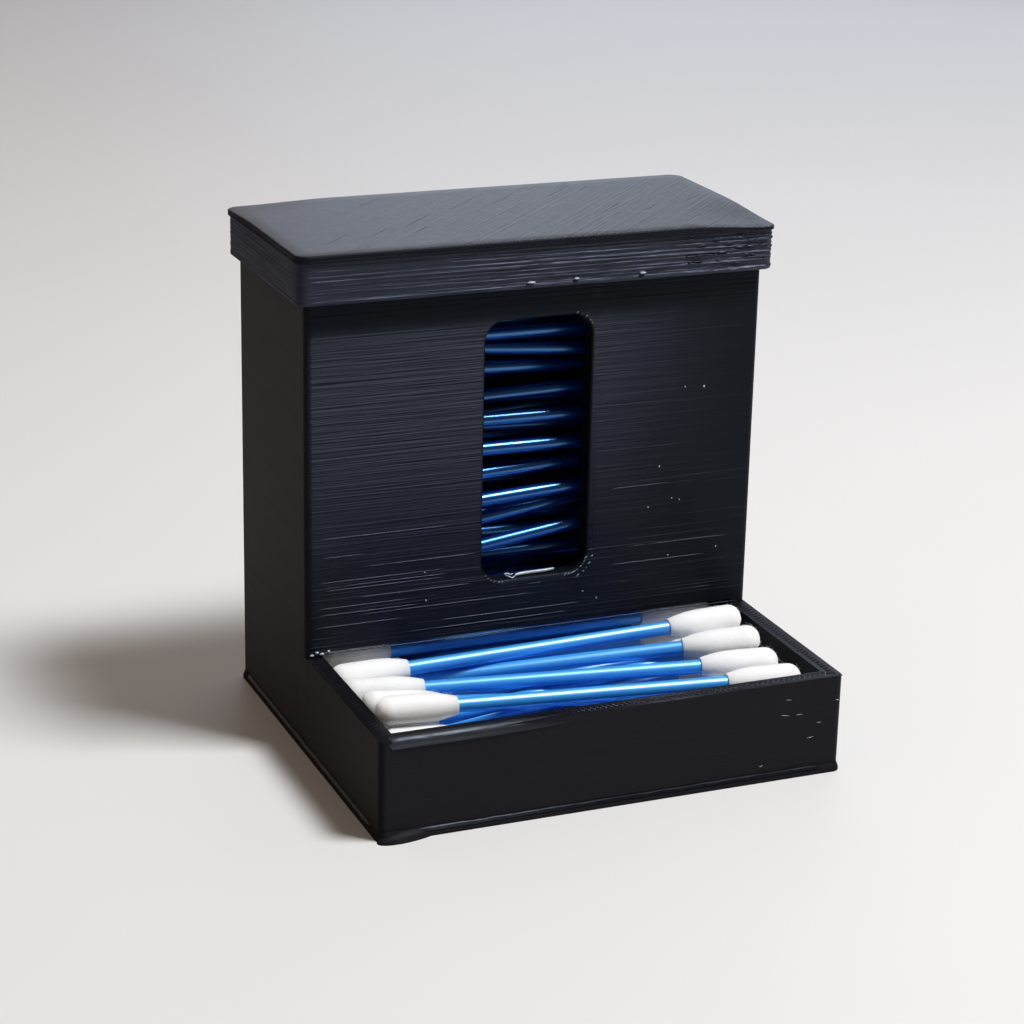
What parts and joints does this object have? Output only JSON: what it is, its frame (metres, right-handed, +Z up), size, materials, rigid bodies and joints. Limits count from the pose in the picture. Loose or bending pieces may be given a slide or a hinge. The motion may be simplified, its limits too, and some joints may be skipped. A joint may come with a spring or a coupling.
{
  "type": "cotton swab dispenser",
  "caption": "Countertop dispenser for cotton swabs: an open front tray fed by a tall hopper with a viewing window and a lift-off cap, filled with loose swabs.",
  "frame": {"origin": "under the middle of the whole object's box, on the surface it stands on", "axes": "+X to the right along the swabs, +Y to the back, tray towards -Y, +Z up"},
  "size_m": [0.0878, 0.0781, 0.0887],
  "materials": {
    "printed_plastic": "black PLA as printed, fine horizontal layer lines",
    "stem_plastic": "glossy azure polypropylene",
    "cotton": "wound white cotton wool"
  },
  "bodies": {
    "housing": {"floor_swabs_1_stems": "stem_plastic", "floor_swabs_1_tips": "cotton", "floor_swabs_2_stems": "stem_plastic", "floor_swabs_2_tips": "cotton", "floor_swabs_3_stems": "stem_plastic", "floor_swabs_3_tips": "cotton", "floor_swabs_4_stems": "stem_plastic", "floor_swabs_4_tips": "cotton", "hopper_swabs_10_stems": "stem_plastic", "hopper_swabs_10_tips": "cotton", "hopper_swabs_11_stems": "stem_plastic", "hopper_swabs_11_tips": "cotton", "hopper_swabs_12_stems": "stem_plastic", "hopper_swabs_12_tips": "cotton", "hopper_swabs_13_stems": "stem_plastic", "hopper_swabs_13_tips": "cotton", "hopper_swabs_14_stems": "stem_plastic", "hopper_swabs_14_tips": "cotton", "hopper_swabs_15_stems": "stem_plastic", "hopper_swabs_15_tips": "cotton", "hopper_swabs_1_stems": "stem_plastic", "hopper_swabs_1_tips": "cotton", "hopper_swabs_2_stems": "stem_plastic", "hopper_swabs_2_tips": "cotton", "hopper_swabs_3_stems": "stem_plastic", "hopper_swabs_3_tips": "cotton", "hopper_swabs_4_stems": "stem_plastic", "hopper_swabs_4_tips": "cotton", "hopper_swabs_5_stems": "stem_plastic", "hopper_swabs_5_tips": "cotton", "hopper_swabs_6_stems": "stem_plastic", "hopper_swabs_6_tips": "cotton", "hopper_swabs_7_stems": "stem_plastic", "hopper_swabs_7_tips": "cotton", "hopper_swabs_8_stems": "stem_plastic", "hopper_swabs_8_tips": "cotton", "hopper_swabs_9_stems": "stem_plastic", "hopper_swabs_9_tips": "cotton", "housing": "printed_plastic", "top_swab_1_stems": "stem_plastic", "top_swab_1_tips": "cotton", "top_swab_2_stems": "stem_plastic", "top_swab_2_tips": "cotton", "top_swab_3_stems": "stem_plastic", "top_swab_3_tips": "cotton", "top_swab_4_stems": "stem_plastic", "top_swab_4_tips": "cotton", "top_swab_5_stems": "stem_plastic", "top_swab_5_tips": "cotton", "top_swab_6_stems": "stem_plastic", "top_swab_6_tips": "cotton", "top_swab_7_stems": "stem_plastic", "top_swab_7_tips": "cotton", "top_swab_8_stems": "stem_plastic", "top_swab_8_tips": "cotton"},
    "lid": {"lid": "printed_plastic"}
  },
  "joints": [
    {"name": "lid_lift", "type": "slide", "parent": "housing", "child": "lid", "axis": [0, 0, 1], "range_m": [0, 0.05]}
  ]
}
